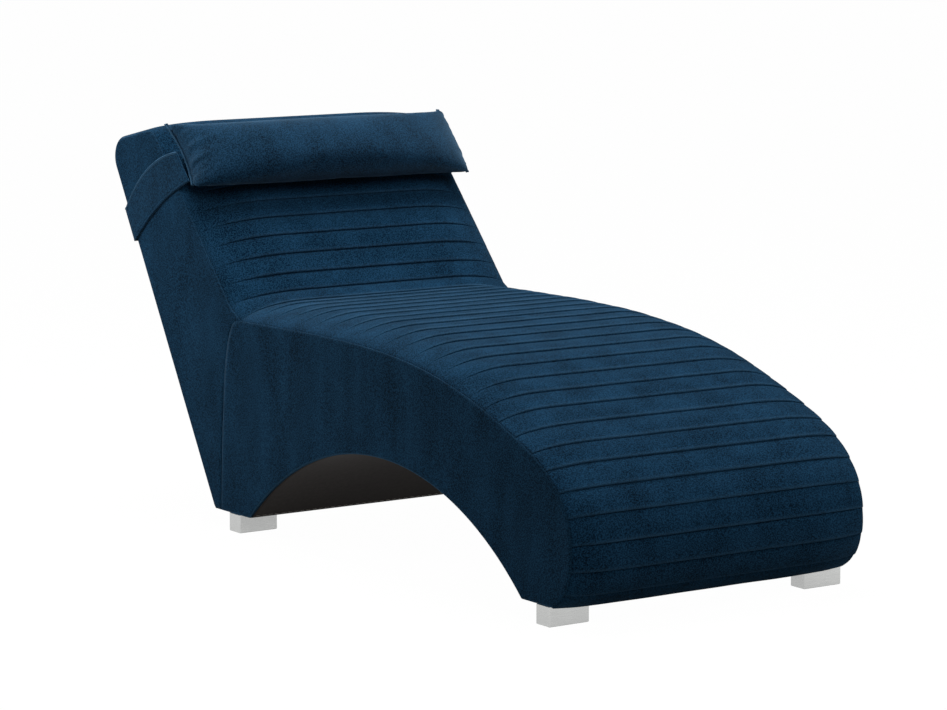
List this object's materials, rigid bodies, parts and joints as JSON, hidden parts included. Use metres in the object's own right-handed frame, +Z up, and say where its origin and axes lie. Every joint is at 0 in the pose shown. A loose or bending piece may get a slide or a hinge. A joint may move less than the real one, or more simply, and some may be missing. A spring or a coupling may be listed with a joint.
{
  "type": "chaise longue",
  "caption": "Upholstered chaise longue with a curved channel-quilted seat, sloping backrest, arched underside, low metal block feet and a sliding head cushion on a strap.",
  "frame": {"origin": "on the floor, below the middle of the whole length and width", "axes": "+X across the seat to the right of a person lying on it, who looks along -Y; +Y from the foot end to the head end; +Z up"},
  "size_m": [0.7056, 1.7118, 0.8505],
  "materials": {
    "beech": "planed, unfinished",
    "plywood": "sawn, unfinished",
    "hardboard": "smooth face",
    "zinc_steel": "bright zinc plate",
    "spring_steel": "satin black",
    "felt": "matted fibre",
    "foam": "open cell",
    "wadding": "fluffy fibre",
    "velvet": "short pile with a soft sheen",
    "cushion_velvet": "short pile with a soft sheen",
    "strap_velvet": "short pile, hemmed",
    "lining": "thin non-woven",
    "foot_metal": "fine brushed, bright",
    "glide_plastic": "matte"
  },
  "bodies": {
    "chaise": {"side_frame_left": "beech", "side_frame_right": "beech", "seat_rail_front": "beech", "seat_rail_middle": "beech", "seat_rail_rear": "beech", "fold_rail": "beech", "back_rail": "beech", "head_rail": "beech", "rear_base_rail": "beech", "corner_blocks": "beech", "front_board": "plywood", "base_board_front": "plywood", "base_board_rear": "plywood", "arch_board": "hardboard", "back_board": "hardboard", "rail_screws": "zinc_steel", "foot_screws": "zinc_steel", "seat_springs": "spring_steel", "back_springs": "spring_steel", "seat_spring_clips": "spring_steel", "back_spring_clips": "spring_steel", "seat_felt": "felt", "back_felt": "felt", "seat_foam": "foam", "back_foam": "foam", "nose_foam": "foam", "top_foam": "foam", "rear_wadding": "wadding", "quilted_cover_seat": "velvet", "quilted_cover_back": "velvet", "side_cover_seat_left": "velvet", "side_cover_seat_right": "velvet", "side_cover_back_left": "velvet", "side_cover_back_right": "velvet", "rear_cover": "velvet", "arch_lining": "lining", "base_lining_front": "lining", "base_lining_rear": "lining", "foot_front_left": "foot_metal", "foot_front_right": "foot_metal", "foot_rear_left": "foot_metal", "foot_rear_right": "foot_metal", "foot_glides": "glide_plastic"},
    "head_cushion": {"cushion_cover": "cushion_velvet", "cushion_filling": "wadding", "strap_side_left": "strap_velvet", "strap_side_right": "strap_velvet"},
    "strap_back": {"strap_back": "strap_velvet"}
  },
  "joints": [
    {"name": "cushion_slide", "type": "slide", "parent": "chaise", "child": "head_cushion", "axis": [0, 0.673, 0.7396], "range_m": [-0.1, 0.03], "deforming": ["strap_side_left", "strap_side_right"]},
    {"name": "strap_back_slide", "type": "slide", "parent": "head_cushion", "child": "strap_back", "axis": [0, -0.8049, 0.5934], "range_m": [-0.021, 0.0065]}
  ],
  "couplings": [
    {"joint": "strap_back_slide", "follows": "cushion_slide", "ratio": 0.20558}
  ]
}
